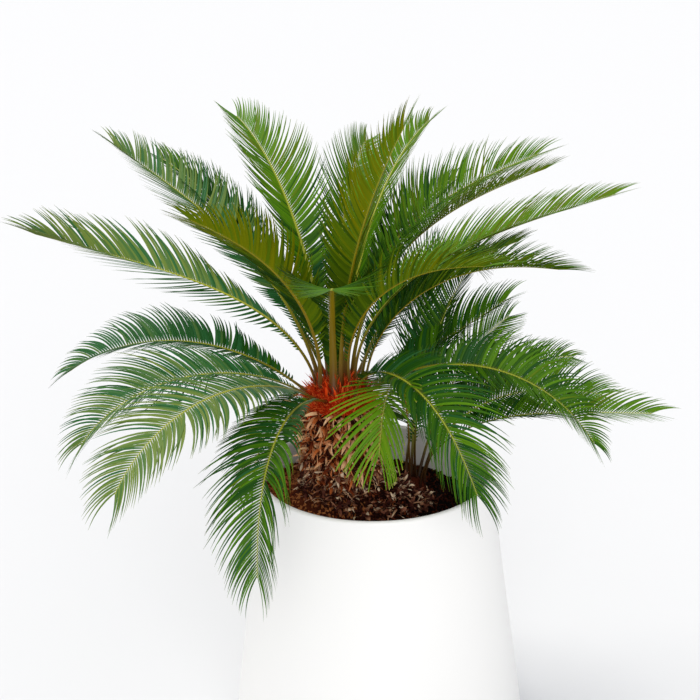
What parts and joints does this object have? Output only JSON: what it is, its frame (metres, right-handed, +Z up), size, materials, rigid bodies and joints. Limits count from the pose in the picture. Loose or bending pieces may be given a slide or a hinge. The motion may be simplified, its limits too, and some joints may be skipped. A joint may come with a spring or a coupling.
{
  "type": "potted sago palm",
  "caption": "Sago palm with a short shaggy stem, arching feather fronds and a young side shoot, growing in a round white planter.",
  "frame": {"origin": "centre of the pot's flat underside", "axes": "+Z up, +X to the right and +Y away when the plant is seen from its front"},
  "size_m": [1.2797, 1.0457, 1.3695],
  "materials": {
    "pot": "smooth white satin paint",
    "soil": "damp dark potting bark",
    "stem": "shaggy dry leaf bases",
    "crown_wool": "dense rust-red wool",
    "leaf": "glossy deep green leaflets",
    "young_leaf": "soft light green leaflets"
  },
  "bodies": {
    "root": {"pot": "pot", "soil": "soil", "stem": "stem", "crown_core": "crown_wool", "shoot_stem": "stem", "frond_left_long": "leaf", "frond_left_high": "leaf", "frond_left_front_high": "leaf", "frond_left_arched": "leaf", "frond_left_drooping": "leaf", "frond_left_front_drooping": "leaf", "frond_front_hanging": "leaf", "frond_top_left": "leaf", "frond_top_middle": "leaf", "frond_top_right": "leaf", "frond_top_front": "leaf", "frond_facing_front": "leaf", "frond_right_highest": "leaf", "frond_right_high": "leaf", "frond_right_long": "leaf", "frond_right_back": "leaf", "frond_right_front": "leaf", "frond_right_middle": "leaf", "frond_right_drooping": "leaf", "frond_right_front_drooping": "leaf", "frond_right_short": "leaf", "frond_back_left_high": "leaf", "frond_back_right_high": "leaf", "frond_back_left": "leaf", "frond_back_middle_left": "leaf", "frond_back_middle_right": "leaf", "frond_back_right": "leaf", "shoot_frond_nodding": "young_leaf", "shoot_frond_upright": "leaf", "shoot_frond_tall": "leaf", "shoot_frond_arched": "leaf", "shoot_frond_right": "leaf", "shoot_frond_right_back": "leaf", "shoot_frond_right_long": "leaf", "shoot_frond_back": "leaf"}
  },
  "joints": []
}
